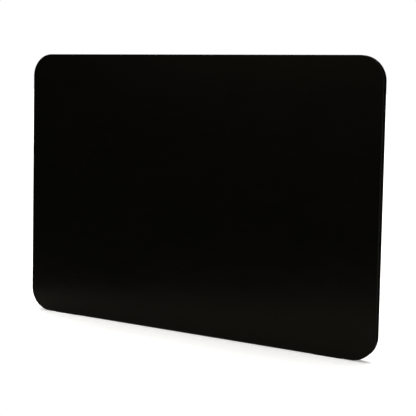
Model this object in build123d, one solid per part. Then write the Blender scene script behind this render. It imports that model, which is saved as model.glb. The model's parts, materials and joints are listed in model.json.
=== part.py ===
"""Frameless folding sandwich board: two black boards joined along the top, held open by sliding side stays.

Millimetres, +Z up, +X to the right, and the front writing face looks along -Y. The origin is on the ground,
under the middle of the folded board. Everything is drawn folded flat, which is the rest pose.
"""

import math
import os

from build123d import *

# --- driving dimensions ------------------------------------------------------------------------------
BOARD_WIDTH = 841.0  # A1 sheet, long side
BOARD_HEIGHT = 594.0  # A1 sheet, short side
BOARD_THICKNESS = 5.0  # compact laminate
CORNER_RADIUS = 50.0
ARRIS_RADIUS = 2.0  # rounding all along the rim of a board, front and back
LEAF_GAP = 9.0  # between the two inner faces when folded
OPEN_ANGLE = 30.0  # between the two boards when set up

FOOT_WIDTH = 60.0
FOOT_HEIGHT = 26.0
FOOT_LIMB = 3.0  # thickness of the limb on the inner face
FOOT_ROUND = 1.0
FOOT_LIP = 2.4  # thickness of the lip under the board
FOOT_PROUD = 0.8  # how far the lip holds the board off the ground
FOOT_REVEAL = 1.5  # how much of the board's edge stays in front of the lip
FOOT_SETBACK = 20.0  # from the end of the rounded corner to the foot
FOOT_SCREW_PITCH = 34.0

HINGE_LENGTH = 80.0
HINGE_INSET = 155.0  # hinge centre from the side of the board
HINGE_DROP = 7.0  # hinge axis below the top edge
HINGE_PLATE_HEIGHT = 26.0
PLATE_THICKNESS = 1.5  # all pressed steel
PLATE_CORNER = 3.0
KNUCKLE_COUNT = 5
KNUCKLE_GAP = 0.3  # end to end
KNUCKLE_CLEARANCE = 0.5  # from a knuckle to the boards and to the opposite plate
HINGE_PIN_STEP = 0.6  # how much smaller the pin's head is than a knuckle, on the radius
HINGE_PIN_HEAD = 1.0
HINGE_SCREW_PITCH = 26.0
HINGE_SCREW_STAGGER = 8.0

STAY_INSET = 70.0  # from the side of the board to the plane of the stay
STAY_LENGTH = 210.0  # pivot to pivot, and also hinge axis to upper pivot
ARM_WIDTH = 6.0
ARM_THICKNESS = 2.5
RIVET_RADIUS = 1.5
RIVET_HEAD_CLEARANCE = 0.4  # from the rivet's outer head to the bracket's base
RIVET_HEAD = 1.0
WASHER_RADIUS = 3.4
WASHER_THICKNESS = 0.5
SLIDE_HEAD_CLEARANCE = 0.3  # from the slide pin's head to the track's base
SLIDE_HEAD_LAP = 0.4  # how far that head reaches over each edge of the slot
SLIDE_HEAD = 0.8
BUSH_WALL = 0.73
BRACKET_WIDTH = 18.0
BRACKET_HEIGHT = 40.0
BRACKET_SCREW_PITCH = 24.0
EAR_HEIGHT = 16.0
EAR_REACH = 3.4  # past the pivot
TRACK_WIDTH = 14.0
TRACK_EDGE = 1.2  # metal left beyond the slot
TRACK_END = 26.0  # from the pin at each end of its travel to the end of the track
TRACK_SCREW_INSET = 8.0

BUMPER_RADIUS = 7.0
BUMPER_INSET = 28.0  # from the side of the board
BUMPER_FROM_BOTTOM = 150.0
BUMPER_FROM_TOP = 154.0
CATCH_RADIUS = 9.0
CATCH_INSET = 30.0
CATCH_FROM_BOTTOM = 60.0
CUP_WALL = 1.2
CUP_FLOOR = 1.2
CUP_HUB_RADIUS = 3.9
RIM_CHAMFER = 0.4

SCREW_HEAD_RADIUS = 3.1
SCREW_HEAD_HEIGHT = 1.5
SCREW_RADIUS = 1.6
SCREW_COVER = 1.5  # board left in front of the end of every screw
RECESS_LENGTH = 3.2
RECESS_WIDTH = 0.7
RECESS_DEPTH = 0.8

RUNNING_CLEARANCE = 0.05  # on the radius, where one piece turns or slides in another
FIXED_CLEARANCE = 0.02  # on the radius, where one piece is riveted or screwed into another
AXIAL_PLAY = 0.05  # each side of a washer, and under a rivet's head
BUSH_PLAY = 0.15  # each side of the track's web
PAD_CLEARANCE = 0.2  # from the middle plane to each of two pads that meet
STOP_CLEARANCE = 0.15  # between the bush and each end of its slot
CUT_OVERRUN = 10.0  # how far a cutter runs past what it cuts

# --- worked out from the above -----------------------------------------------------------------------
HALF_GAP = LEAF_GAP / 2
BOARD_BOTTOM = FOOT_PROUD
BOARD_TOP = BOARD_BOTTOM + BOARD_HEIGHT
BOARD_SIDE = BOARD_WIDTH / 2
SCREW_BITE = BOARD_THICKNESS - SCREW_COVER
PAD_DEPTH = HALF_GAP - PAD_CLEARANCE
FOOT_X = BOARD_SIDE - CORNER_RADIUS - FOOT_SETBACK - FOOT_WIDTH / 2
FOOT_LIP_DEPTH = BOARD_THICKNESS - FOOT_REVEAL

HINGE_X = BOARD_SIDE - HINGE_INSET
HINGE_Z = BOARD_TOP - HINGE_DROP
KNUCKLE_RADIUS = HALF_GAP - KNUCKLE_CLEARANCE
KNUCKLE_PITCH = HINGE_LENGTH / KNUCKLE_COUNT
HINGE_BORE_RADIUS = KNUCKLE_RADIUS - PLATE_THICKNESS
HINGE_PIN_RADIUS = HINGE_BORE_RADIUS - RUNNING_CLEARANCE
PLATE_TOP = HINGE_Z - KNUCKLE_RADIUS - KNUCKLE_CLEARANCE

STAY_X = BOARD_SIDE - STAY_INSET  # inner face of the bracket's ear and of the track's web
ARM_X = STAY_X - WASHER_THICKNESS - 2 * AXIAL_PLAY  # outer face of the arm
PIN_X = ARM_X - ARM_THICKNESS - AXIAL_PLAY  # where each pin's inner head starts
PIVOT_Z = HINGE_Z - STAY_LENGTH
SLIDE_Z = HINGE_Z - 2 * STAY_LENGTH
SLIDE_TRAVEL = 2 * STAY_LENGTH * (1 - math.cos(math.radians(OPEN_ANGLE)))
RIVET_HEAD_RADIUS = HALF_GAP - PLATE_THICKNESS - RIVET_HEAD_CLEARANCE
SLIDE_HEAD_RADIUS = HALF_GAP - PLATE_THICKNESS - SLIDE_HEAD_CLEARANCE
SLOT_HALF_WIDTH = SLIDE_HEAD_RADIUS - SLIDE_HEAD_LAP
BUSH_RADIUS = SLOT_HALF_WIDTH - RUNNING_CLEARANCE
SLIDE_PIN_RADIUS = BUSH_RADIUS - BUSH_WALL - FIXED_CLEARANCE
TRACK_LOW = SLIDE_Z - TRACK_END
TRACK_HIGH = SLIDE_Z + SLIDE_TRAVEL + TRACK_END

SIDES = {"left": -1, "right": 1}

# Faces that screw heads are flush with, as y on the front board.
PLATE_SEAT = PLATE_THICKNESS - HALF_GAP
LIMB_SEAT = FOOT_LIMB - HALF_GAP
PAD_SEAT = -PAD_CLEARANCE

# Screws of one hinge about its centre, of one foot about its centre, and of the right-hand bracket, track
# and catch where they are, as (x, z).
HINGE_SCREWS = [
    (step * HINGE_SCREW_PITCH, PLATE_TOP - HINGE_PLATE_HEIGHT / 2 + rise * HINGE_SCREW_STAGGER / 2)
    for step, rise in ((-1, 1), (0, -1), (1, 1))
]
FOOT_SCREWS = [(end * FOOT_SCREW_PITCH / 2, (FOOT_HEIGHT + FOOT_LIP) / 2) for end in (-1, 1)]
BRACKET_SCREWS = [
    (STAY_X + (BRACKET_WIDTH + PLATE_THICKNESS) / 2, PIVOT_Z + end * BRACKET_SCREW_PITCH / 2)
    for end in (-1, 1)
]
TRACK_SCREWS = [
    (STAY_X + (TRACK_WIDTH + PLATE_THICKNESS) / 2, z)
    for z in (TRACK_LOW + TRACK_SCREW_INSET, TRACK_HIGH - TRACK_SCREW_INSET)
]
CATCH_SCREWS = [(BOARD_SIDE - CATCH_INSET, BOARD_BOTTOM + CATCH_FROM_BOTTOM)]
BUMPERS = [
    (BOARD_SIDE - BUMPER_INSET, z)
    for z in (BOARD_BOTTOM + BUMPER_FROM_BOTTOM, BOARD_TOP - BUMPER_FROM_TOP)
]


# --- placing -----------------------------------------------------------------------------------------
def along_x(solid):
    """Turns a solid drawn along Z so that it lies along X."""
    return Rot(0, 90, 0) * solid


def facing_gap(solid):
    """Turns a solid drawn with its top towards +Z so that its top faces the gap from the front board."""
    return Rot(-90, 0, 0) * solid


def on_rear(solid):
    """The mirror image of a front-board piece, on the rear board."""
    return mirror(solid, about=Plane.XZ)


def on_side(solid, side):
    """A piece drawn for the right side, or its mirror image for the left."""
    return solid if side > 0 else mirror(solid, about=Plane.YZ)


def shifted(places, offset):
    """Places about a centre, repeated at that centre on both sides."""
    return [(side * offset + x, z) for side in SIDES.values() for x, z in places]


def both_sides(places):
    """Right-hand places and their mirror images."""
    return [(side * x, z) for side in SIDES.values() for x, z in places]


def at(places, solid):
    """Copies of a small solid drawn at x = z = 0, one at each place."""
    return [Pos(x, 0, z) * solid for x, z in places]


def rod(radius, start, end):
    """Cylinder about the Z axis from start to end."""
    return Pos(0, 0, (start + end) / 2) * Cylinder(radius, end - start)


def button(radius, height):
    """Short cylinder on the front board's inner face, at x = z = 0, drawn with its top towards +Z."""
    return rod(radius, 0, height)


def seated(solid):
    """Puts a solid that stands on z = 0 on the front board's inner face."""
    return Pos(0, -HALF_GAP, 0) * facing_gap(solid)


# --- screws ------------------------------------------------------------------------------------------
def countersunk(spare, end_spare):
    """Countersunk shape down from z = 0, grown by spare on the radius and by end_spare at its point."""
    depth = SCREW_BITE + HALF_GAP + end_spare
    head = Pos(0, 0, -SCREW_HEAD_HEIGHT / 2) * Cone(
        SCREW_RADIUS + spare, SCREW_HEAD_RADIUS + spare, SCREW_HEAD_HEIGHT
    )
    return head + rod(SCREW_RADIUS + spare, -depth, 0)


def screw(seat):
    """Cross-slotted countersunk screw in the front board, at x = z = 0, flush with the face at y = seat."""
    slot = Box(RECESS_LENGTH, RECESS_WIDTH, 2 * RECESS_DEPTH)
    solid = countersunk(0, seat) - slot - Rot(0, 0, 90) * slot
    return Pos(0, seat, 0) * facing_gap(solid)


def screw_hole(seat):
    """What a screw at that seat needs cut out of the piece it holds and of the board."""
    mouth = rod(SCREW_HEAD_RADIUS + FIXED_CLEARANCE, 0, CUT_OVERRUN)
    solid = countersunk(FIXED_CLEARANCE, seat + FIXED_CLEARANCE) + mouth
    return Pos(0, seat, 0) * facing_gap(solid)


def drilled(solid, places, seat):
    """A solid with the holes of its screws."""
    for hole in at(places, screw_hole(seat)):
        solid -= hole
    return solid


# --- boards and feet ---------------------------------------------------------------------------------
def foot_lip(spare=0.0):
    """The part of a foot that lies under the board, longer by spare at each end."""
    y = -HALF_GAP - FOOT_LIP_DEPTH / 2
    return Pos(0, y, FOOT_LIP / 2) * Box(FOOT_WIDTH + 2 * spare, FOOT_LIP_DEPTH, FOOT_LIP)


def board(screws):
    """A board with rounded corners, softened edges, rebates for the feet's lips and blind screw holes."""
    sheet = extrude(RectangleRounded(BOARD_WIDTH, BOARD_HEIGHT, CORNER_RADIUS), BOARD_THICKNESS)
    rims = sheet.edges().group_by(Axis.Z)
    sheet = fillet(rims[0] + rims[-1], ARRIS_RADIUS)
    sheet = Pos(0, -HALF_GAP, BOARD_BOTTOM + BOARD_HEIGHT / 2) * (Rot(90, 0, 0) * sheet)
    for side in SIDES.values():
        sheet -= Pos(side * FOOT_X, 0, 0) * foot_lip(FIXED_CLEARANCE)
    for seat, places in screws:
        sheet = drilled(sheet, places, seat)
    return sheet


def foot():
    """Rubber angle: a limb screwed to the board's inner face, and a lip under the board's edge."""
    limb = Pos(0, FOOT_LIMB / 2 - HALF_GAP, FOOT_HEIGHT / 2) * Box(FOOT_WIDTH, FOOT_LIMB, FOOT_HEIGHT)
    rim = limb.faces().sort_by(Axis.Y)[-1].edges().sort_by(Axis.Z)[1:]
    return drilled(fillet(rim, FOOT_ROUND) + foot_lip(), FOOT_SCREWS, LIMB_SEAT)


# --- hinges ------------------------------------------------------------------------------------------
def hinge_plate(indices):
    """Front half of a hinge centred on x = 0, with the knuckles of these indices and their webs."""
    outline = extrude(RectangleRounded(HINGE_LENGTH, HINGE_PLATE_HEIGHT, PLATE_CORNER), PLATE_THICKNESS)
    plate = Pos(0, PLATE_SEAT, PLATE_TOP - HINGE_PLATE_HEIGHT / 2) * (Rot(90, 0, 0) * outline)
    length = KNUCKLE_PITCH - KNUCKLE_GAP
    web_height = HINGE_Z - PLATE_TOP
    web_place = Pos(0, PLATE_SEAT - PLATE_THICKNESS / 2, -web_height / 2)
    knuckle = along_x(Cylinder(KNUCKLE_RADIUS, length)) + web_place * Box(length, PLATE_THICKNESS, web_height)
    for index in indices:
        plate += Pos((index + 0.5) * KNUCKLE_PITCH - HINGE_LENGTH / 2, 0, HINGE_Z) * knuckle
    plate -= Pos(0, 0, HINGE_Z) * along_x(Cylinder(HINGE_BORE_RADIUS, HINGE_LENGTH + CUT_OVERRUN))
    return drilled(plate, HINGE_SCREWS, PLATE_SEAT)


def hinge_pin():
    """Hinge pin with a rounded head at each end, centred on x = 0."""
    half = (HINGE_LENGTH + KNUCKLE_GAP) / 2
    head = rod(KNUCKLE_RADIUS - HINGE_PIN_STEP, half, half + HINGE_PIN_HEAD)
    head = fillet(head.edges().group_by(Axis.Z)[-1], HINGE_PIN_HEAD / 2)
    pin = rod(HINGE_PIN_RADIUS, -half, half) + head + mirror(head, about=Plane.XY)
    return Pos(0, 0, HINGE_Z) * along_x(pin)


# --- stays, drawn for the right side -----------------------------------------------------------------
def stay_hole(radius, z):
    """Cutter for a pin's hole at height z."""
    return Pos(STAY_X, 0, z) * along_x(rod(radius, -CUT_OVERRUN, CUT_OVERRUN))


def angle(width, low, high, web_low, web_high, reach, web_round):
    """Pressed angle on the front board: a base with two rounded corners, and a web that stands in the gap."""
    base = Pos(STAY_X + width / 2, PLATE_SEAT - PLATE_THICKNESS / 2, (low + high) / 2) * Box(
        width, PLATE_THICKNESS, high - low
    )
    base = fillet(base.edges().filter_by(Axis.Y).sort_by(Axis.X)[-2:], PLATE_CORNER)
    web = Pos(STAY_X + PLATE_THICKNESS / 2, reach / 2 - HALF_GAP, (web_low + web_high) / 2) * Box(
        PLATE_THICKNESS, reach, web_high - web_low
    )
    return base + fillet(web.edges().filter_by(Axis.X).sort_by(Axis.Y)[-2:], web_round)


def stay_bracket():
    """Bracket on the front board, whose ear carries the stay's upper pivot."""
    low, high = (PIVOT_Z + end * BRACKET_HEIGHT / 2 for end in (-1, 1))
    ear_low, ear_high = (PIVOT_Z + end * EAR_HEIGHT / 2 for end in (-1, 1))
    bracket = angle(BRACKET_WIDTH, low, high, ear_low, ear_high, HALF_GAP + EAR_REACH, EAR_REACH)
    bracket -= stay_hole(RIVET_RADIUS + FIXED_CLEARANCE, PIVOT_Z)
    return drilled(bracket, BRACKET_SCREWS, PLATE_SEAT)


def stay_track():
    """Slotted angle in which the stay's lower end slides, drawn on the front board for mirroring."""
    reach = HALF_GAP + SLOT_HALF_WIDTH + TRACK_EDGE
    track = angle(TRACK_WIDTH, TRACK_LOW, TRACK_HIGH, TRACK_LOW, TRACK_HIGH, reach, PLATE_CORNER)
    length = SLIDE_TRAVEL + 2 * (SLOT_HALF_WIDTH + STOP_CLEARANCE)
    slot = along_x(extrude(SlotOverall(length, 2 * SLOT_HALF_WIDTH), CUT_OVERRUN / 2, both=True))
    track -= Pos(STAY_X, 0, SLIDE_Z + SLIDE_TRAVEL / 2) * slot
    return drilled(track, TRACK_SCREWS, PLATE_SEAT)


def stay_arm():
    """Flat bar with round ends, from the upper pivot down to the slide pin."""
    bar = along_x(extrude(SlotCenterToCenter(STAY_LENGTH, ARM_WIDTH), ARM_THICKNESS))
    bar = Pos(ARM_X - ARM_THICKNESS, 0, (PIVOT_Z + SLIDE_Z) / 2) * bar
    bar -= stay_hole(RIVET_RADIUS + RUNNING_CLEARANCE, PIVOT_Z)
    return bar - stay_hole(SLIDE_PIN_RADIUS + FIXED_CLEARANCE, SLIDE_Z)


def headed_pin(radius, z, reach, outer_radius, outer_head):
    """Pin through the arm at height z, with a head beside the arm and one that starts at x = reach."""
    inner = rod(RIVET_HEAD_RADIUS, PIN_X - RIVET_HEAD, PIN_X)
    inner = fillet(inner.edges().group_by(Axis.Z)[0], RIVET_HEAD / 2)
    outer = rod(outer_radius, reach, reach + outer_head)
    outer = fillet(outer.edges().group_by(Axis.Z)[-1], outer_head / 2)
    return Pos(0, 0, z) * along_x(rod(radius, PIN_X, reach) + inner + outer)


def stay_rivet():
    """Rivet of the upper pivot, fast in the bracket's ear."""
    reach = STAY_X + PLATE_THICKNESS + AXIAL_PLAY
    return headed_pin(RIVET_RADIUS, PIVOT_Z, reach, RIVET_HEAD_RADIUS, RIVET_HEAD)


def slide_pin():
    """Pin of the arm's lower end, with a head that keeps the bush in the track."""
    reach = STAY_X + PLATE_THICKNESS + 2 * BUSH_PLAY
    return headed_pin(SLIDE_PIN_RADIUS, SLIDE_Z, reach, SLIDE_HEAD_RADIUS, SLIDE_HEAD)


def pin_ring(radius, bore_radius, start, end, z):
    """Plain ring on a pin at height z, from x = start to x = end."""
    bore = rod(bore_radius, start - CUT_OVERRUN, end + CUT_OVERRUN)
    return Pos(0, 0, z) * along_x(rod(radius, start, end) - bore)


def stay_washer():
    """Nylon washer between the arm and the bracket's ear."""
    bore = RIVET_RADIUS + RUNNING_CLEARANCE
    return pin_ring(WASHER_RADIUS, bore, ARM_X + AXIAL_PLAY, STAY_X - AXIAL_PLAY, PIVOT_Z)


def slide_bush():
    """Nylon bush on the slide pin, with a collar that keeps the arm off the track."""
    bore = SLIDE_PIN_RADIUS + FIXED_CLEARANCE
    face = STAY_X - AXIAL_PLAY
    collar = pin_ring(WASHER_RADIUS, bore, ARM_X + AXIAL_PLAY, face, SLIDE_Z)
    return collar + pin_ring(BUSH_RADIUS, bore, face, STAY_X + PLATE_THICKNESS + BUSH_PLAY, SLIDE_Z)


# --- bumpers and catches, drawn on the front board at x = z = 0 --------------------------------------
def bumper():
    """Self-adhesive rubber button."""
    solid = button(BUMPER_RADIUS, PAD_DEPTH)
    return seated(fillet(solid.edges().group_by(Axis.Z)[-1], FOOT_ROUND))


def catch_disc():
    """Steel disc with a chamfered rim."""
    solid = button(CATCH_RADIUS, PAD_DEPTH)
    return chamfer(solid.edges().group_by(Axis.Z)[-1], RIM_CHAMFER)


def magnet_cup():
    """Steel cup with a hub for its screw, which holds a ring magnet."""
    pocket = rod(CATCH_RADIUS - CUP_WALL, CUP_FLOOR, PAD_DEPTH) - rod(CUP_HUB_RADIUS, CUP_FLOOR, PAD_DEPTH)
    return drilled(seated(catch_disc() - pocket), [(0, 0)], PAD_SEAT)


def magnet():
    """Ring magnet in the cup, a hair below its rim."""
    top = PAD_DEPTH - PAD_CLEARANCE
    outer = rod(CATCH_RADIUS - CUP_WALL - FIXED_CLEARANCE, CUP_FLOOR, top)
    return seated(outer - rod(CUP_HUB_RADIUS + FIXED_CLEARANCE, CUP_FLOOR, top))


def catch_plate():
    """Steel disc that the magnet holds."""
    return drilled(seated(catch_disc()), [(0, 0)], PAD_SEAT)


# --- the object, node by node ------------------------------------------------------------------------
def front_leaf():
    """Every piece that is fixed to the front board."""
    screws = {
        "front_hinge_screws": (PLATE_SEAT, shifted(HINGE_SCREWS, HINGE_X)),
        "front_foot_screws": (LIMB_SEAT, shifted(FOOT_SCREWS, FOOT_X)),
        "stay_bracket_screws": (PLATE_SEAT, both_sides(BRACKET_SCREWS)),
        "catch_magnet_screws": (PAD_SEAT, both_sides(CATCH_SCREWS)),
    }
    nodes = {name: at(places, screw(seat)) for name, (seat, places) in screws.items()}
    nodes["front_board"] = [board(screws.values())]
    nodes["front_bumpers"] = at(both_sides(BUMPERS), bumper())
    outer_knuckles = range(0, KNUCKLE_COUNT, 2)
    for name, side in SIDES.items():
        catch = [(side * x, z) for x, z in CATCH_SCREWS]
        nodes[f"{name}_hinge_front_plate"] = [Pos(side * HINGE_X, 0, 0) * hinge_plate(outer_knuckles)]
        nodes[f"front_{name}_foot"] = [Pos(side * FOOT_X, 0, 0) * foot()]
        nodes[f"{name}_stay_bracket"] = [on_side(stay_bracket(), side)]
        nodes[f"{name}_stay_rivet"] = [on_side(stay_rivet(), side)]
        nodes[f"{name}_stay_washer"] = [on_side(stay_washer(), side)]
        nodes[f"{name}_magnet_cup"] = at(catch, magnet_cup())
        nodes[f"{name}_catch_magnet"] = at(catch, magnet())
    return nodes


def rear_leaf():
    """Every piece that is fixed to the rear board, drawn on the front board and then mirrored."""
    screws = {
        "rear_hinge_screws": (PLATE_SEAT, shifted(HINGE_SCREWS, HINGE_X)),
        "rear_foot_screws": (LIMB_SEAT, shifted(FOOT_SCREWS, FOOT_X)),
        "stay_track_screws": (PLATE_SEAT, both_sides(TRACK_SCREWS)),
        "catch_plate_screws": (PAD_SEAT, both_sides(CATCH_SCREWS)),
    }
    nodes = {name: at(places, screw(seat)) for name, (seat, places) in screws.items()}
    nodes["rear_board"] = [board(screws.values())]
    nodes["rear_bumpers"] = at(both_sides(BUMPERS), bumper())
    inner_knuckles = range(1, KNUCKLE_COUNT, 2)
    for name, side in SIDES.items():
        nodes[f"{name}_hinge_rear_plate"] = [Pos(side * HINGE_X, 0, 0) * hinge_plate(inner_knuckles)]
        nodes[f"rear_{name}_foot"] = [Pos(side * FOOT_X, 0, 0) * foot()]
        nodes[f"{name}_stay_track"] = [on_side(stay_track(), side)]
        nodes[f"{name}_catch_plate"] = at([(side * x, z) for x, z in CATCH_SCREWS], catch_plate())
    return {name: [on_rear(solid) for solid in solids] for name, solids in nodes.items()}


def moving_pieces():
    """The hinge pins, and each stay's arm with what is fixed to its lower end."""
    nodes = {}
    for name, side in SIDES.items():
        nodes[f"{name}_hinge_pin"] = [Pos(side * HINGE_X, 0, 0) * hinge_pin()]
        nodes[f"{name}_stay_arm"] = [on_side(stay_arm(), side)]
        nodes[f"{name}_slide_pin"] = [on_side(slide_pin(), side)]
        nodes[f"{name}_slide_bush"] = [on_side(slide_bush(), side)]
    return nodes


def main():
    """Writes one STEP file for each node."""
    os.makedirs("parts", exist_ok=True)
    for name, made in {**front_leaf(), **rear_leaf(), **moving_pieces()}.items():
        solids = [solid for piece in made for solid in piece.solids()]
        export_step(Compound(children=solids), f"parts/{name}.step")


main()
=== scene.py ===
"""Looks of the frameless folding sandwich board: finishes, panels, feet, bumpers, studio and camera.

Everything is in metres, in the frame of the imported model: +X to the right, the front writing face towards
-Y, +Z up, and the origin on the ground under the middle of the folded board. The steel, nylon and magnet
pieces are the model's own, and get finishes here. The panels, feet and bumpers are built finer and stand for
the model's.
"""

import json
import logging
import math
from abc import ABC, abstractmethod
from dataclasses import dataclass
from enum import Enum
from functools import cache

import bmesh
import bpy
from mathutils import Matrix, Vector


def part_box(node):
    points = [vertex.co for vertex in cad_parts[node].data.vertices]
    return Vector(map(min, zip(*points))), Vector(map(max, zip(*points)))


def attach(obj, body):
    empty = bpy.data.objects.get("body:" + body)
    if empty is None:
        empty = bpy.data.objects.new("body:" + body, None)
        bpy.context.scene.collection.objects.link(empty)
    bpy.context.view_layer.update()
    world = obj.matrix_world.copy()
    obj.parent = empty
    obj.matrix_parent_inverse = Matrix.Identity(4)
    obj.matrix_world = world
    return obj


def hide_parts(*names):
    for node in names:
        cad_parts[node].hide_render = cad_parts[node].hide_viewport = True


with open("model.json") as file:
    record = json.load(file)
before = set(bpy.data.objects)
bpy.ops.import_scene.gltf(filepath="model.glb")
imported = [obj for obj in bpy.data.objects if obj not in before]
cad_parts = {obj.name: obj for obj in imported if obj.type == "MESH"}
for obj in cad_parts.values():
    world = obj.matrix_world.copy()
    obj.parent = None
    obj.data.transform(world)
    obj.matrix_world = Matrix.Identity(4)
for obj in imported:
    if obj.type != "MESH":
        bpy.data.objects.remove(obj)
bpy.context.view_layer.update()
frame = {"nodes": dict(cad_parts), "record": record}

LOG = logging.getLogger("sandwich_board")
MILLIMETRE = 0.001
LIP_HEIGHT = 2.4 * MILLIMETRE
SCREW_HOLE_RADIUS = 1.62 * MILLIMETRE
CLEARANCE = 0.02 * MILLIMETRE
WELD_DISTANCE = 0.001 * MILLIMETRE

Triple = tuple[float, float, float]
Colour = tuple[float, float, float]
Span = tuple[float, float]
Socket = bpy.types.NodeSocket
Box = tuple[Vector, Vector]

FULL: Span = (0.0, 1.0)


class Leaf(Enum):
    """The two boards of the sandwich, by the body that each is."""

    FRONT = "front_leaf"
    REAR = "rear_leaf"

    @property
    def word(self) -> str:
        """The word that starts the names of this leaf's pieces."""
        return self.value.split("_")[0]

    @property
    def outward(self) -> int:
        """The sign of Y on this leaf's writing face."""
        return -1 if self is Leaf.FRONT else 1


class Side(Enum):
    """The two ends of a board, by the word in the names of their pieces."""

    LEFT = "left"
    RIGHT = "right"


class Lamp(Enum):
    """The two kinds of light in the studio."""

    AREA = "AREA"
    SUN = "SUN"


# --- finishes ------------------------------------------------------------------------------------------


class Shading:
    """A material being made: its node tree, its shader, and short ways to add nodes to it."""

    def __init__(self, name: str) -> None:
        """Starts a material that holds only its shader and output.

        Args:
            name: The material's name.
        """
        self.material = bpy.data.materials.new(name)
        self.material.use_nodes = True
        self.tree = self.material.node_tree
        self.tree.nodes.clear()
        self.shader = self.tree.nodes.new("ShaderNodeBsdfPrincipled")
        output = self.tree.nodes.new("ShaderNodeOutputMaterial")
        self.tree.links.new(self.shader.outputs["BSDF"], output.inputs["Surface"])
        self.place = self.tree.nodes.new("ShaderNodeTexCoord").outputs["Object"]

    def put(self, socket: Socket, value: object) -> None:
        """Links a socket to another one, or sets its value.

        Args:
            socket: The input.
            value: An output to link, or a plain value.
        """
        if isinstance(value, Socket):
            self.tree.links.new(value, socket)
        else:
            socket.default_value = value

    def set(self, **inputs: object) -> None:
        """Sets or links the shader's inputs.

        Args:
            inputs: Input names in lower case with underscores, and what goes into each.
        """
        for name, value in inputs.items():
            words = [word.upper() if word == "ior" else word.capitalize() for word in name.split("_")]
            if isinstance(value, tuple):
                value = (*value, 1.0)
            self.put(self.shader.inputs[" ".join(words)], value)

    def noise(
        self, size: float, stretch: Triple = (1, 1, 1), detail: float = 3.0, rough: float = 0.55
    ) -> Socket:
        """Adds a noise whose grains are about a given size.

        Args:
            size: Size of a grain, in metres.
            stretch: How many times longer the grains are along X, Y and Z.
            detail: Octaves.
            rough: How strong each finer octave is.

        Returns:
            The noise's value, from 0 to 1.
        """
        mapping = self.tree.nodes.new("ShaderNodeMapping")
        mapping.inputs["Scale"].default_value = [1 / (size * one) for one in stretch]
        self.put(mapping.inputs["Vector"], self.place)
        noise = self.tree.nodes.new("ShaderNodeTexNoise")
        self.put(noise.inputs["Vector"], mapping.outputs["Vector"])
        for name, value in (("Scale", 1.0), ("Detail", detail), ("Roughness", rough)):
            noise.inputs[name].default_value = value
        return noise.outputs["Fac"]

    def cells(self, size: float) -> Socket:
        """Adds rounded cells of a given size.

        Args:
            size: Size of a cell, in metres.

        Returns:
            The distance to the middle of the nearest cell, in cells.
        """
        voronoi = self.tree.nodes.new("ShaderNodeTexVoronoi")
        voronoi.feature = "SMOOTH_F1"
        self.put(voronoi.inputs["Vector"], self.place)
        voronoi.inputs["Scale"].default_value = 1 / size
        return voronoi.outputs["Distance"]

    def spread(self, value: Socket, onto: Span = FULL, middle: Span = (0.3, 0.7)) -> Socket:
        """Maps a pattern's middle range onto another range, smoothly.

        Args:
            value: The pattern.
            onto: What the ends of its middle range become.
            middle: The middle range, beyond which the result stays the same.

        Returns:
            The mapped value.
        """
        node = self.tree.nodes.new("ShaderNodeMapRange")
        node.interpolation_type = "SMOOTHSTEP"
        self.put(node.inputs["Value"], value)
        for direction, ends in (("From", middle), ("To", onto)):
            for limit, given in zip(("Min", "Max"), ends):
                self.put(node.inputs[f"{direction} {limit}"], given)
        return node.outputs["Result"]

    def blend(self, factor: Socket, first: Colour | Socket, second: Colour) -> Socket:
        """Blends two colours by a pattern.

        Args:
            factor: The pattern, from 0 to 1.
            first: The colour at 0.
            second: The colour at 1.

        Returns:
            The blended colour.
        """
        node = self.tree.nodes.new("ShaderNodeMix")
        node.data_type = "RGBA"
        self.put(node.inputs["Factor"], factor)
        for name, colour in (("A", first), ("B", second)):
            socket = next(one for one in node.inputs if one.name == name and one.type == "RGBA")
            self.put(socket, colour if isinstance(colour, Socket) else (*colour, 1.0))
        return next(one for one in node.outputs if one.type == "RGBA")

    def relief(self, *layers: tuple[Socket, float]) -> None:
        """Roughens the surface with one or more patterns, each on top of the one before.

        Args:
            layers: Patterns, each with its height in metres.
        """
        normal = None
        for height, depth in layers:
            bump = self.tree.nodes.new("ShaderNodeBump")
            bump.inputs["Distance"].default_value = depth
            self.put(bump.inputs["Height"], height)
            if normal is not None:
                self.put(bump.inputs["Normal"], normal)
            normal = bump.outputs["Normal"]
        self.put(self.shader.inputs["Normal"], normal)


@dataclass(frozen=True)
class Finish(ABC):
    """What a surface is made of and how it was treated."""

    name: str

    @abstractmethod
    def dress(self, shading: Shading) -> None:
        """Fills in a new material."""

    @cache
    def material(self) -> bpy.types.Material:
        """Makes the material the first time, and gives the same one after that.

        Returns:
            The material.
        """
        shading = Shading(self.name)
        self.dress(shading)
        LOG.info("finish %s", self.name)
        return shading.material


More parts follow.
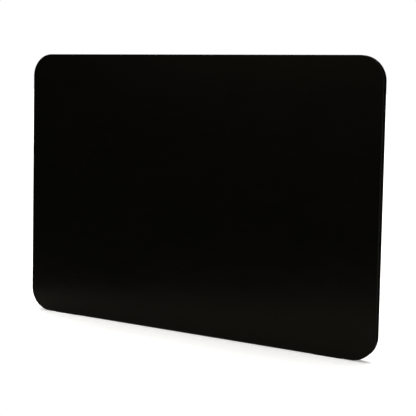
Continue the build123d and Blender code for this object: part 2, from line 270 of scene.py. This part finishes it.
@dataclass(frozen=True)
class SatinLaminate(Finish):
    """Black writing face of compact laminate, pearl-textured, wiped many times and almost clean of chalk."""

    name: str = "satin_black_laminate"
    deep: Colour = (0.0016, 0.0016, 0.0016)
    hazed: Colour = (0.0022, 0.0021, 0.0020)
    warm_tint: Colour = (1.0, 0.89, 0.60)
    reflectance: float = 0.045
    roughness: Span = (0.25, 0.30)
    haze_cloud: float = 160 * MILLIMETRE
    wipe_streak: float = 14 * MILLIMETRE
    wipe_stretch: Triple = (4, 1, 1.6)
    dust_speck: float = 1.6 * MILLIMETRE
    dust_middle: Span = (0.55, 0.8)
    pearl: float = 0.9 * MILLIMETRE
    pearl_depth: float = 0.012 * MILLIMETRE
    grain: float = 0.25 * MILLIMETRE
    grain_depth: float = 0.006 * MILLIMETRE

    def dress(self, shading: Shading) -> None:
        """Fills in a new material.

        Args:
            shading: The material being made.
        """
        haze = shading.spread(shading.noise(self.haze_cloud, detail=4))
        wiped = shading.noise(self.wipe_streak, self.wipe_stretch, detail=4, rough=0.6)
        dust = shading.noise(self.dust_speck, detail=5, rough=0.7)
        dusted = shading.spread(dust, middle=self.dust_middle)
        tone = shading.blend(haze, self.deep, self.hazed)
        shading.set(
            base_color=shading.blend(dusted, tone, self.hazed),
            roughness=shading.spread(wiped, self.roughness),
            specular_ior_level=self.reflectance,
            specular_tint=self.warm_tint,
        )
        shading.relief(
            (shading.cells(self.pearl), self.pearl_depth),
            (shading.noise(self.grain, detail=2), self.grain_depth),
        )


@dataclass(frozen=True)
class SawnCore(Finish):
    """Sanded edge of compact laminate, where the pressed paper layers show as fine dark lines."""

    name: str = "sanded_core_edge"
    paper: Colour = (0.0048, 0.0041, 0.0032)
    resin: Colour = (0.0022, 0.0019, 0.0016)
    reflectance: float = 0.05
    roughness: Span = (0.72, 0.88)
    layer: float = 0.28 * MILLIMETRE
    layer_stretch: Triple = (160, 1, 160)
    layer_depth: float = 0.015 * MILLIMETRE
    cut: float = 1.1 * MILLIMETRE
    cut_stretch: Triple = (1, 12, 1)
    cut_depth: float = 0.01 * MILLIMETRE

    def dress(self, shading: Shading) -> None:
        """Fills in a new material.

        Args:
            shading: The material being made.
        """
        layers = shading.noise(self.layer, self.layer_stretch, detail=2)
        cuts = shading.noise(self.cut, self.cut_stretch, detail=3)
        shading.set(
            base_color=shading.blend(shading.spread(layers), self.resin, self.paper),
            roughness=shading.spread(cuts, self.roughness),
            specular_ior_level=self.reflectance,
        )
        shading.relief((layers, self.layer_depth), (cuts, self.cut_depth))


@dataclass(frozen=True)
class PowderCoat(Finish):
    """Black polyester powder over pressed steel, with its orange-peel surface."""

    name: str = "black_powder_coat"
    colour: Colour = (0.014, 0.014, 0.015)
    rubbed: Colour = (0.030, 0.030, 0.031)
    reflectance: float = 0.45
    roughness: Span = (0.36, 0.5)
    wear_patch: float = 7 * MILLIMETRE
    wear_middle: Span = (0.52, 0.75)
    peel: float = 1.3 * MILLIMETRE
    peel_depth: float = 0.05 * MILLIMETRE
    grain: float = 0.325 * MILLIMETRE
    grain_depth: float = 0.01 * MILLIMETRE

    def dress(self, shading: Shading) -> None:
        """Fills in a new material.

        Args:
            shading: The material being made.
        """
        wear = shading.noise(self.wear_patch, detail=5, rough=0.65)
        worn = shading.spread(wear, middle=self.wear_middle)
        shading.set(
            base_color=shading.blend(worn, self.colour, self.rubbed),
            roughness=shading.spread(worn, self.roughness, FULL),
            specular_ior_level=self.reflectance,
        )
        shading.relief(
            (shading.cells(self.peel), self.peel_depth),
            (shading.noise(self.grain), self.grain_depth),
        )


@dataclass(frozen=True)
class PlatedSteel(Finish):
    """Turned or stamped steel with a thin bright plating, dulled in clouds."""

    name: str = "zinc_plated_steel"
    bright: Colour = (0.56, 0.57, 0.60)
    dulled: Colour = (0.40, 0.39, 0.37)
    roughness: Span = (0.26, 0.46)
    cloud: float = 2.4 * MILLIMETRE
    turning: float = 0.15 * MILLIMETRE
    turning_stretch: Triple = (14, 1, 1)
    turning_depth: float = 0.004 * MILLIMETRE

    def dress(self, shading: Shading) -> None:
        """Fills in a new material.

        Args:
            shading: The material being made.
        """
        clouds = shading.spread(shading.noise(self.cloud, detail=5, rough=0.65))
        turned = shading.noise(self.turning, self.turning_stretch, detail=2)
        shading.set(
            base_color=shading.blend(clouds, self.bright, self.dulled),
            metallic=1.0,
            roughness=shading.spread(clouds, self.roughness, FULL),
        )
        shading.relief((turned, self.turning_depth))


@dataclass(frozen=True)
class MouldedRubber(Finish):
    """Black rubber from a spark-eroded mould, dusty where it is handled."""

    name: str = "moulded_black_rubber"
    colour: Colour = (0.011, 0.011, 0.0115)
    dusty: Colour = (0.026, 0.025, 0.023)
    reflectance: float = 0.35
    roughness: Span = (0.62, 0.85)
    dust_patch: float = 5 * MILLIMETRE
    dust_middle: Span = (0.5, 0.8)
    erosion: float = 0.35 * MILLIMETRE
    erosion_depth: float = 0.03 * MILLIMETRE

    def dress(self, shading: Shading) -> None:
        """Fills in a new material.

        Args:
            shading: The material being made.
        """
        dust = shading.noise(self.dust_patch, detail=6, rough=0.7)
        dusted = shading.spread(dust, middle=self.dust_middle)
        shading.set(
            base_color=shading.blend(dusted, self.colour, self.dusty),
            roughness=shading.spread(dusted, self.roughness, FULL),
            specular_ior_level=self.reflectance,
        )
        shading.relief((shading.noise(self.erosion, detail=3), self.erosion_depth))


@dataclass(frozen=True)
class NaturalNylon(Finish):
    """Uncoloured nylon, a little see-through and greyed where it rubs."""

    name: str = "natural_nylon"
    colour: Colour = (0.62, 0.59, 0.52)
    rubbed: Colour = (0.42, 0.40, 0.36)
    roughness: Span = (0.38, 0.55)
    rub_patch: float = 1.5 * MILLIMETRE
    rub_middle: Span = (0.45, 0.75)
    see_through: float = 0.2
    light_depth: float = 0.6 * MILLIMETRE
    grain: float = 0.4 * MILLIMETRE
    grain_depth: float = 0.01 * MILLIMETRE

    def dress(self, shading: Shading) -> None:
        """Fills in a new material.

        Args:
            shading: The material being made.
        """
        rub = shading.spread(shading.noise(self.rub_patch, detail=4), middle=self.rub_middle)
        shading.set(
            base_color=shading.blend(rub, self.colour, self.rubbed),
            roughness=shading.spread(rub, self.roughness, FULL),
            subsurface_weight=self.see_through,
            subsurface_scale=self.light_depth,
        )
        shading.relief((shading.noise(self.grain, detail=2), self.grain_depth))


LAMINATE = SatinLaminate()
CORE_EDGE = SawnCore()
RUBBER = MouldedRubber()
POWDER_COAT = PowderCoat()
ZINC = PlatedSteel()
NYLON = NaturalNylon()
NICKEL = PlatedSteel(
    "nickel_plated_magnet", bright=(0.50, 0.47, 0.43), dulled=(0.42, 0.40, 0.37), roughness=(0.16, 0.36)
)

SLOT_FINISHES: dict[str, Finish] = {
    "black_board": LAMINATE,
    "black_steel": POWDER_COAT,
    "bright_steel": ZINC,
    "zinc_screw": ZINC,
    "rubber": RUBBER,
    "nylon": NYLON,
    "magnet": NICKEL,
}


# --- mesh work -----------------------------------------------------------------------------------------


def islands(node: str) -> list[Box]:
    """Finds the separate solids of a model node.

    Args:
        node: The node's name.

    Returns:
        Each solid's lowest and highest corner, from left to right.
    """
    bm = bmesh.new()
    bm.from_mesh(frame["nodes"][node].data)
    bmesh.ops.remove_doubles(bm, verts=bm.verts, dist=WELD_DISTANCE)
    unseen = set(bm.verts)
    boxes = []
    while unseen:
        reached = [unseen.pop()]
        for vert in reached:
            beyond = {edge.other_vert(vert) for edge in vert.link_edges} & unseen
            unseen -= beyond
            reached.extend(beyond)
        spots = [vert.co for vert in reached]
        low, high = (Vector(pick(spot[axis] for spot in spots) for axis in range(3)) for pick in (min, max))
        boxes.append((low, high))
    bm.free()
    return sorted(boxes, key=lambda box: tuple(box[0]))


def block(lo: Vector, hi: Vector) -> bmesh.types.BMesh:
    """Starts a mesh as a plain block, to be cut and rounded.

    Args:
        lo: The lowest corner.
        hi: The highest corner.

    Returns:
        The new mesh.
    """
    bm = bmesh.new()
    bmesh.ops.create_cube(bm, size=1.0)
    bmesh.ops.scale(bm, vec=hi - lo, verts=bm.verts)
    bmesh.ops.translate(bm, vec=(lo + hi) / 2, verts=bm.verts)
    return bm


def rounded(bm: bmesh.types.BMesh, edges: list[bmesh.types.BMEdge], radius: float, segments: int) -> None:
    """Rounds some edges of a mesh.

    Args:
        bm: The mesh.
        edges: The edges.
        radius: The rounding's radius.
        segments: How many faces it has.
    """
    bmesh.ops.bevel(
        bm, geom=edges, offset=radius, offset_type="OFFSET", affect="EDGES", segments=segments, profile=0.5,
        material=-1, clamp_overlap=True,
    )


def disc(start: Vector, radius: float, length: float, segments: int) -> bmesh.types.BMesh:
    """Starts a mesh as a plain disc or rod along Y.

    Args:
        start: The middle of its end that has the lowest Y.
        radius: Its radius.
        length: Its length along Y.
        segments: Faces round it.

    Returns:
        The new mesh.
    """
    bm = bmesh.new()
    middle = Matrix.Translation(start + Vector((0, length / 2, 0)))
    along_y = Matrix.Rotation(math.radians(-90), 4, "X")
    bmesh.ops.create_cone(
        bm, cap_ends=True, segments=segments, radius1=radius, radius2=radius, depth=length,
        matrix=middle @ along_y,
    )
    return bm


def as_object(name: str, bm: bmesh.types.BMesh) -> bpy.types.Object:
    """Makes an object of a mesh, with its normals outwards.

    Args:
        name: The object's name.
        bm: The mesh, which is freed.

    Returns:
        The new object, at the origin.
    """
    bmesh.ops.recalc_face_normals(bm, faces=bm.faces)
    mesh = bpy.data.meshes.new(name)
    bm.to_mesh(mesh)
    bm.free()
    made = bpy.data.objects.new(name, mesh)
    bpy.context.scene.collection.objects.link(made)
    return made


def carved(piece: bpy.types.Object, cutters: list[bmesh.types.BMesh]) -> None:
    """Cuts shapes out of a piece for good.

    Args:
        piece: The piece.
        cutters: Closed meshes, which are used up.
    """
    for bm in cutters:
        cutter = as_object("cutter", bm)
        cut = piece.modifiers.new("cut", "BOOLEAN")
        cut.operation = "DIFFERENCE"
        cut.solver = "EXACT"
        cut.object = cutter
    bpy.context.view_layer.update()
    graph = bpy.context.evaluated_depsgraph_get()
    mesh = bpy.data.meshes.new_from_object(piece.evaluated_get(graph))
    used = [one.object for one in piece.modifiers]
    piece.modifiers.clear()
    piece.data = mesh
    for cutter in used:
        bpy.data.objects.remove(cutter)


def smoothed(piece: bpy.types.Object, sharp_degrees: float = 35) -> None:
    """Shades a piece smoothly, apart from its sharp edges, with flat faces kept flat.

    Args:
        piece: The piece.
        sharp_degrees: Edges that turn by more than this stay sharp.
    """
    mesh = piece.data
    mesh.shade_smooth()
    mesh.set_sharp_from_angle(angle=math.radians(sharp_degrees))
    even = piece.modifiers.new("flat_faces", "WEIGHTED_NORMAL")
    even.keep_sharp = True


def finished(piece: bpy.types.Object, leaf: Leaf, nodes: list[str]) -> None:
    """Smooths a new piece, fixes it to the leaf that it rides on, and hides the model nodes that it stands
    for.

    Args:
        piece: The piece.
        leaf: The leaf that it is fixed to.
        nodes: The model nodes that it stands for.
    """
    smoothed(piece)
    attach(piece, leaf.value)
    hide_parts(*nodes)
    LOG.info("piece %s on %s, %d faces", piece.name, leaf.value, len(piece.data.polygons))


# --- sub-assemblies ------------------------------------------------------------------------------------


@dataclass
class Panel:
    """One board of the sandwich: rounded corners and rim, rebates for its feet and blind screw holes."""

    leaf: Leaf
    corner_radius: float = 50 * MILLIMETRE
    corner_segments: int = 40
    rim_radius: float = 2.0 * MILLIMETRE
    rim_segments: int = 8
    face_squareness: float = 0.999
    screw_segments: int = 24
    overrun: float = 5 * MILLIMETRE

    def outline(self, lo: Vector, hi: Vector) -> bmesh.types.BMesh:
        """Builds the sheet with its rounded corners and rim, and marks which faces are sawn.

        Args:
            lo: The board's lowest corner.
            hi: The board's highest corner.

        Returns:
            The new mesh, with material 1 on the sawn faces.
        """
        bm = block(lo, hi)
        corners = [edge for edge in bm.edges if self.depth(edge) > (hi - lo).y / 2]
        rounded(bm, corners, self.corner_radius, self.corner_segments)
        rims = [edge for edge in bm.edges if self.depth(edge) < CLEARANCE]
        rounded(bm, rims, self.rim_radius, self.rim_segments)
        for face in bm.faces:
            face.material_index = 0 if abs(face.normal.y) > self.face_squareness else 1
        return bm

    def depth(self, edge: bmesh.types.BMEdge) -> float:
        """Measures how far an edge reaches through the sheet, along Y."""
        return abs(edge.verts[0].co.y - edge.verts[1].co.y)

    def cutters(self, lo: Vector, hi: Vector) -> list[bmesh.types.BMesh]:
        """Builds what is cut out of the sheet.

        Args:
            lo: The board's lowest corner.
            hi: The board's highest corner.

        Returns:
            Blocks for the feet's lips and rods for the screws.
        """
        inner = hi.y if self.leaf is Leaf.FRONT else lo.y
        away = -self.leaf.outward * self.overrun
        made = []
        for side in Side:
            foot_lo, foot_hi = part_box(f"{self.leaf.word}_{side.value}_foot")
            edge = foot_lo.y if self.leaf is Leaf.FRONT else foot_hi.y
            low_y, high_y = sorted((edge, inner + away))
            low = Vector((foot_lo.x - CLEARANCE, low_y, -self.overrun))
            made.append(block(low, Vector((foot_hi.x + CLEARANCE, high_y, LIP_HEIGHT))))
        for node in self.screw_nodes():
            for screw_lo, screw_hi in islands(node):
                centre = (screw_lo + screw_hi) / 2
                tip = screw_lo.y if self.leaf is Leaf.FRONT else screw_hi.y
                low_y, high_y = sorted((tip + self.leaf.outward * CLEARANCE, inner + away))
                start = Vector((centre.x, low_y, centre.z))
                made.append(disc(start, SCREW_HOLE_RADIUS, high_y - low_y, self.screw_segments))
        return made

    def screw_nodes(self) -> list[str]:
        """Names the screws that go into this board."""
        members = frame["record"]["behaviour"]["bodies"][self.leaf.value]
        return [node for node in members if node.endswith("_screws")]

    def build(self) -> None:
        """Builds the board in place of the model's, and dresses it."""
        node = f"{self.leaf.word}_board"
        lo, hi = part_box(node)
        piece = as_object(f"{self.leaf.word}_panel", self.outline(lo, hi))
        for finish in (LAMINATE, CORE_EDGE):
            piece.data.materials.append(finish.material())
        carved(piece, self.cutters(lo, hi))
        finished(piece, self.leaf, [node])


@dataclass
class Foot:
    """Moulded rubber angle: a fluted limb on the board's inner face, and a grooved lip under its edge."""

    leaf: Leaf
    side: Side
    softening: float = 0.5 * MILLIMETRE
    softening_segments: int = 4
    flute_width: float = 1.6 * MILLIMETRE
    flute_depth: float = 0.5 * MILLIMETRE
    flute_pitch: float = 3.2 * MILLIMETRE
    flute_margin: float = 4 * MILLIMETRE
    groove_width: float = 0.7 * MILLIMETRE
    groove_depth: float = 0.25 * MILLIMETRE
    groove_count: int = 3
    boss_radius: float = 5.2 * MILLIMETRE
    sink_depth: float = 1.5 * MILLIMETRE
    sink_segments: int = 48
    hole_segments: int = 32

    def profile(self, lo: Vector, hi: Vector, board_inner: float) -> bmesh.types.BMesh:
        """Builds the plain angle by drawing its section and pulling it along X.

        Args:
            lo: The foot's lowest corner.
            hi: The foot's highest corner.
            board_inner: Y of the board's inner face.

        Returns:
            The new mesh, with softened edges.
        """
        outer, inner = (lo.y, hi.y) if self.leaf is Leaf.FRONT else (hi.y, lo.y)
        bm = bmesh.new()
        section = [
            (outer, lo.z), (inner, lo.z), (inner, hi.z),
            (board_inner, hi.z), (board_inner, LIP_HEIGHT), (outer, LIP_HEIGHT),
        ]
        face = bm.faces.new([bm.verts.new((lo.x, y, z)) for y, z in section])
        pulled = bmesh.ops.extrude_face_region(bm, geom=[face])
        moved = [one for one in pulled["geom"] if isinstance(one, bmesh.types.BMVert)]
        bmesh.ops.translate(bm, vec=(hi.x - lo.x, 0, 0), verts=moved)
        bmesh.ops.recalc_face_normals(bm, faces=bm.faces)
        free = [
            edge for edge in bm.edges
            if all(abs(vert.co.y - board_inner) > self.softening for vert in edge.verts)
        ]
        rounded(bm, free, self.softening, self.softening_segments)
        return bm

    def grooves(self, lo: Vector, hi: Vector, bosses: list[Box]) -> list[bmesh.types.BMesh]:
        """Builds what is cut out of the angle.

        Args:
            lo: The foot's lowest corner.
            hi: The foot's highest corner.
            bosses: The boxes of its screws.

        Returns:
            Blocks for the limb's flutes, clear of the screws, and for the lip's grooves.
        """
        inner = hi.y if self.leaf is Leaf.FRONT else lo.y
        centres = [(screw_lo.x + screw_hi.x) / 2 for screw_lo, screw_hi in bosses]
        made = []
        flute_length = hi.z - lo.z - 2 * self.flute_margin
        count = int((hi.x - lo.x - 2 * self.flute_margin) / self.flute_pitch)
        for step in range(count + 1):
            x = (lo.x + hi.x) / 2 + (step - count / 2) * self.flute_pitch
            if min(abs(x - centre) for centre in centres) > self.boss_radius:
                half = Vector((self.flute_width, 2 * self.flute_depth, flute_length)) / 2
                centre = Vector((x, inner, (lo.z + hi.z) / 2 + LIP_HEIGHT / 2))
                made.append(block(centre - half, centre + half))
        for step in range(self.groove_count):
            y = lo.y + (hi.y - lo.y) * (step + 1) / (self.groove_count + 1)
            half = Vector(((hi.x - lo.x) / 2 + self.softening, self.groove_width / 2, self.groove_depth))
            centre = Vector(((lo.x + hi.x) / 2, y, lo.z))
            made.append(block(centre - half, centre + half))
        return made

    def sinks(self, bosses: list[Box]) -> list[bmesh.types.BMesh]:
        """Builds the countersunk holes for the screws.

        Args:
            bosses: The boxes of its screws.

        Returns:
            A cone and a rod for each screw.
        """
        made = []
        for screw_lo, screw_hi in bosses:
            centre = (screw_lo + screw_hi) / 2
            seat = screw_hi.y if self.leaf is Leaf.FRONT else screw_lo.y
            mouth_radius = (screw_hi.x - screw_lo.x) / 2 + CLEARANCE
            inwards = Matrix.Rotation(math.radians(90 * self.leaf.outward), 4, "X")
            middle = Matrix.Translation((centre.x, seat + self.leaf.outward * self.sink_depth / 2, centre.z))
            sink = bmesh.new()
            bmesh.ops.create_cone(
                sink, cap_ends=True, segments=self.sink_segments, radius1=mouth_radius,
                radius2=SCREW_HOLE_RADIUS, depth=self.sink_depth, matrix=middle @ inwards,
            )
            made.append(sink)
            start = Vector((centre.x, min(screw_lo.y, seat), centre.z))
            made.append(disc(start, SCREW_HOLE_RADIUS, screw_hi.y - screw_lo.y, self.hole_segments))
        return made

    def build(self) -> None:
        """Builds the foot in place of the model's, and dresses it."""
        node = f"{self.leaf.word}_{self.side.value}_foot"
        lo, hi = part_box(node)
        board_lo, board_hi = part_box(f"{self.leaf.word}_board")
        board_inner = board_hi.y if self.leaf is Leaf.FRONT else board_lo.y
        bosses = [box for box in islands(f"{self.leaf.word}_foot_screws") if lo.x < box[0].x < hi.x]
        name = f"{self.leaf.word}_{self.side.value}_rubber_foot"
        piece = as_object(name, self.profile(lo, hi, board_inner))
        piece.data.materials.append(RUBBER.material())
        carved(piece, self.grooves(lo, hi, bosses) + self.sinks(bosses))
        finished(piece, self.leaf, [node])


@dataclass
class Bumpers:
    """The self-adhesive rubber buttons on one board's inner face, domed, with a dished top."""

    leaf: Leaf
    dome_radius: float = 1.6 * MILLIMETRE
    dome_segments: int = 6
    dish_margin: float = 2.2 * MILLIMETRE
    dish_depth: float = 0.5 * MILLIMETRE
    dish_segments: int = 3
    round_segments: int = 64
    rim_share: float = 0.95

    def button(self, box: Box) -> bmesh.types.BMesh:
        """Builds one button.

        Args:
            box: The lowest and highest corner of the model's.

        Returns:
            The new mesh.
        """
        lo, hi = box
        radius = (hi.x - lo.x) / 2
        top = hi.y if self.leaf is Leaf.FRONT else lo.y
        start = Vector(((lo.x + hi.x) / 2, lo.y, (lo.z + hi.z) / 2))
        crown = Vector(((lo.x + hi.x) / 2, top, (lo.z + hi.z) / 2))
        bm = disc(start, radius, hi.y - lo.y, self.round_segments)
        cap = [
            face for face in bm.faces
            if all(abs(vert.co.y - top) < self.dish_depth for vert in face.verts)
        ]
        bmesh.ops.inset_region(bm, faces=cap, thickness=self.dish_margin, depth=0, use_even_offset=True)
        bmesh.ops.translate(bm, vec=(0, self.leaf.outward * self.dish_depth, 0), verts=cap[0].verts)
        dish = list(cap[0].edges)
        rim = [
            edge for edge in bm.edges
            if all(abs(vert.co.y - top) < self.dish_depth / 2 for vert in edge.verts)
            and all((vert.co - crown).length > radius * self.rim_share for vert in edge.verts)
        ]
        rounded(bm, rim, self.dome_radius, self.dome_segments)
        rounded(bm, [edge for edge in dish if edge.is_valid], self.dish_depth, self.dish_segments)
        return bm

    def build(self) -> None:
        """Builds the buttons in place of the model's, as one piece, and dresses them."""
        node = f"{self.leaf.word}_bumpers"
        whole = bmesh.new()
        for box in islands(node):
            bm = self.button(box)
            mesh = bpy.data.meshes.new("button")
            bm.to_mesh(mesh)
            bm.free()
            whole.from_mesh(mesh)
            bpy.data.meshes.remove(mesh)
        piece = as_object(f"{self.leaf.word}_rubber_bumpers", whole)
        piece.data.materials.append(RUBBER.material())
        finished(piece, self.leaf, [node])


@dataclass
class Fittings:
    """The model's own hinges, stays, screws and catches, which keep their shapes and get finishes."""

    def build(self) -> None:
        """Dresses every model node by its material slot."""
        for part in frame["record"]["subparts"]:
            piece = frame["nodes"][part["node"]]
            finish = SLOT_FINISHES[part["material_slot"]]
            for slot in piece.material_slots:
                slot.link = "OBJECT"
                slot.material = finish.material()
            LOG.info("node %s in %s", piece.name, finish.name)


# --- studio --------------------------------------------------------------------------------------------


@dataclass
class Studio:
    """A pale floor, a soft sky, a tall light at each side for the rims and a warm fill from the front."""

    floor_reach: float = 60.0
    floor_front: float = 0.36
    floor_turn_degrees: float = -24.0
    floor_colour: Colour = (0.86, 0.855, 0.845)
    floor_paler: float = 1.03
    floor_mottle: float = 0.4
    floor_roughness: float = 0.9
    floor_reflectance: float = 0.1
    floor_glow: float = 0.35
    aim: Triple = (0, 0, 0.3)
    sky_strength: float = 4.6
    sky_angle_degrees: float = 70.0
    sky_place: Triple = (-0.5, 0.8, 4)
    rim_lights: tuple[tuple[str, float, Triple], ...] = (
        ("left_rim_light", 9.0, (-1.9, -0.2, 0.8)),
        ("right_rim_light", 0.8, (2.1, 0.35, 1.0)),
    )
    rim_size: tuple[float, float] = (0.5, 2.2)
    fill_strength: float = 30.0
    fill_size: tuple[float, float] = (3.0, 2.0)
    fill_colour: Colour = (1.0, 0.93, 0.78)
    fill_place: Triple = (-1.6, -4.6, 1.7)
    fill_aim: Triple = (0, 0, 0.6)
    room: Colour = (0.13, 0.13, 0.13)
    backdrop: Colour = (1.02, 1.02, 1.02)

    def floor(self) -> None:
        """Lays a floor that reaches far to the sides and back, and ends just in front with its edge askew."""
        bm = bmesh.new()
        half_depth = (self.floor_reach + self.floor_front) / 2
        bmesh.ops.create_grid(bm, x_segments=1, y_segments=1, size=1.0)
        bmesh.ops.scale(bm, vec=(self.floor_reach, half_depth, 1), verts=bm.verts)
        bmesh.ops.translate(bm, vec=(0, self.floor_reach - half_depth, 0), verts=bm.verts)
        askew = Matrix.Rotation(math.radians(self.floor_turn_degrees), 3, "Z")
        bmesh.ops.rotate(bm, cent=(0, 0, 0), matrix=askew, verts=bm.verts)
        floor = as_object("floor", bm)
        shading = Shading("pale_floor")
        mottle = shading.spread(shading.noise(self.floor_mottle, detail=3))
        paler = tuple(one * self.floor_paler for one in self.floor_colour)
        shading.set(
            base_color=shading.blend(mottle, self.floor_colour, paler),
            roughness=self.floor_roughness,
            specular_ior_level=self.floor_reflectance,
            emission_color=self.floor_colour,
            emission_strength=self.floor_glow,
        )
        floor.data.materials.append(shading.material)

    def light(self, name: str, kind: Lamp, energy: float, place: Triple, aim: Triple) -> bpy.types.Light:
        """Hangs one light.

        Args:
            name: Its name.
            kind: Which kind it is.
            energy: Its power in watts, or a sun's strength.
            place: Where it hangs.
            aim: What it points at.

        Returns:
            The light's data, whose size is still to be set.
        """
        data = bpy.data.lights.new(name, kind.value)
        data.energy = energy
        lamp = bpy.data.objects.new(name, data)
        lamp.location = place
        lamp.rotation_euler = (Vector(aim) - Vector(place)).to_track_quat("-Z", "Y").to_euler()
        bpy.context.scene.collection.objects.link(lamp)
        return data

    def lights(self) -> None:
        """Hangs the sun that stands for a soft sky, the two rim lights and the warm fill at the front."""
        sun = self.light("soft_sky", Lamp.SUN, self.sky_strength, self.sky_place, self.aim)
        sun.angle = math.radians(self.sky_angle_degrees)
        for name, strength, place in self.rim_lights:
            rim = self.light(name, Lamp.AREA, strength, place, self.aim)
            rim.shape = "RECTANGLE"
            rim.size, rim.size_y = self.rim_size
        fill = self.light("warm_fill", Lamp.AREA, self.fill_strength, self.fill_place, self.fill_aim)
        fill.shape = "RECTANGLE"
        fill.size, fill.size_y = self.fill_size
        fill.color = self.fill_colour

    def surroundings(self) -> None:
        """Makes the surroundings white where the camera sees them, and dim in what the object reflects."""
        world = bpy.data.worlds.new("studio")
        bpy.context.scene.world = world
        world.use_nodes = True
        tree = world.node_tree
        tree.nodes.clear()
        backgrounds = []
        for colour in (self.room, self.backdrop):
            node = tree.nodes.new("ShaderNodeBackground")
            node.inputs["Color"].default_value = (*colour, 1.0)
            backgrounds.append(node)
        ray = tree.nodes.new("ShaderNodeLightPath")
        mix = tree.nodes.new("ShaderNodeMixShader")
        tree.links.new(ray.outputs["Is Camera Ray"], mix.inputs["Fac"])
        shaders = [one for one in mix.inputs if one.type == "SHADER"]
        for node, socket in zip(backgrounds, shaders):
            tree.links.new(node.outputs["Background"], socket)
        output = tree.nodes.new("ShaderNodeOutputWorld")
        tree.links.new(mix.outputs["Shader"], output.inputs["Surface"])

    def build(self) -> None:
        """Sets up the floor, the lights, the surroundings and the tone of the picture."""
        self.floor()
        self.lights()
        self.surroundings()
        bpy.context.scene.view_settings.view_transform = "Standard"


@dataclass
class Viewpoint:
    """A long lens two metres away, to the front right, a little lower than the board's top edge."""

    place: Triple = (1.0009, -1.7437, 0.5317)
    turn_degrees: Triple = (86.254, -1.129, 28.959)
    sensor_width: float = 36.0
    lens: float = 82.20
    shift: float = -0.1465

    def build(self) -> None:
        """Makes the camera."""
        data = bpy.data.cameras.new("camera")
        data.sensor_width = self.sensor_width
        data.lens = self.lens
        data.shift_y = self.shift
        camera = bpy.data.objects.new("camera", data)
        camera.location = self.place
        camera.rotation_euler = [math.radians(one) for one in self.turn_degrees]
        bpy.context.scene.collection.objects.link(camera)
        bpy.context.scene.camera = camera


def main() -> None:
    """Builds every sub-assembly in order, then the studio and the camera."""
    logging.basicConfig(level=logging.INFO, format="%(name)s: %(message)s")
    Fittings().build()
    for leaf in Leaf:
        Panel(leaf).build()
        for side in Side:
            Foot(leaf, side).build()
        Bumpers(leaf).build()
    Studio().build()
    Viewpoint().build()


if __name__ == "__main__":
    main()
